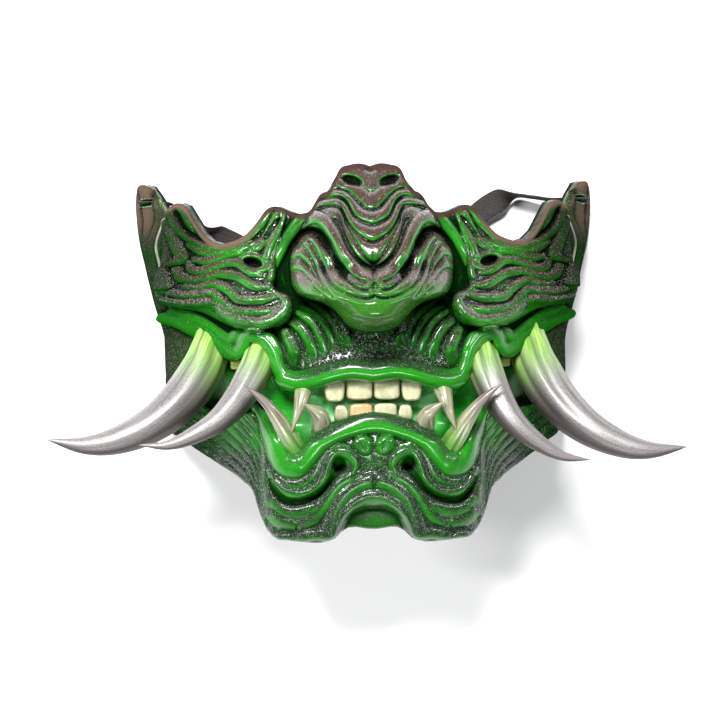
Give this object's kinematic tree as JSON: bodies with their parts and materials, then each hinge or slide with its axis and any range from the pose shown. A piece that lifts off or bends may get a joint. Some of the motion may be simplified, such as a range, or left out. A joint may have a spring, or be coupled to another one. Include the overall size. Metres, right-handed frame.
{
  "type": "oni mask",
  "caption": "Half-face demon mask with carved ridges, side tusks, fangs and teeth, open behind, with an elastic strap between its ear flaps.",
  "frame": {"origin": "under the middle of the whole mask, on the plane that its rim lies on", "axes": "+X to the right of the mask as a viewer in front sees it, +Y from the chin up to the nose bridge, +Z out of the face"},
  "size_m": [0.2574, 0.1526, 0.1279],
  "materials": {
    "green_resin": "cast resin, bright green paint going to black in the grooves and brown grey on the ridges, glossy varnish with silver specks",
    "silver_tusk": "cast resin, brushed silver paint along the tusk, green towards the root",
    "ivory_tooth": "cast resin, ivory paint with olive edges under varnish",
    "black_elastic": "woven black elastic"
  },
  "bodies": {
    "root": {"mask_shell": "green_resin", "outer_tusk_left": "silver_tusk", "outer_tusk_right": "silver_tusk", "inner_tusk_left": "silver_tusk", "inner_tusk_right": "silver_tusk", "lower_fang_left": "ivory_tooth", "lower_fang_right": "ivory_tooth", "small_lower_fang_left": "ivory_tooth", "small_lower_fang_right": "ivory_tooth", "upper_fang_left": "ivory_tooth", "upper_fang_right": "ivory_tooth", "upper_central_incisor_left": "ivory_tooth", "upper_central_incisor_right": "ivory_tooth", "upper_lateral_incisor_left": "ivory_tooth", "upper_lateral_incisor_right": "ivory_tooth", "lower_central_incisor_left": "ivory_tooth", "lower_central_incisor_right": "ivory_tooth", "lower_lateral_incisor_left": "ivory_tooth", "lower_lateral_incisor_right": "ivory_tooth", "side_molar_left": "ivory_tooth", "side_molar_right": "ivory_tooth", "elastic_strap": "black_elastic"}
  },
  "joints": []
}
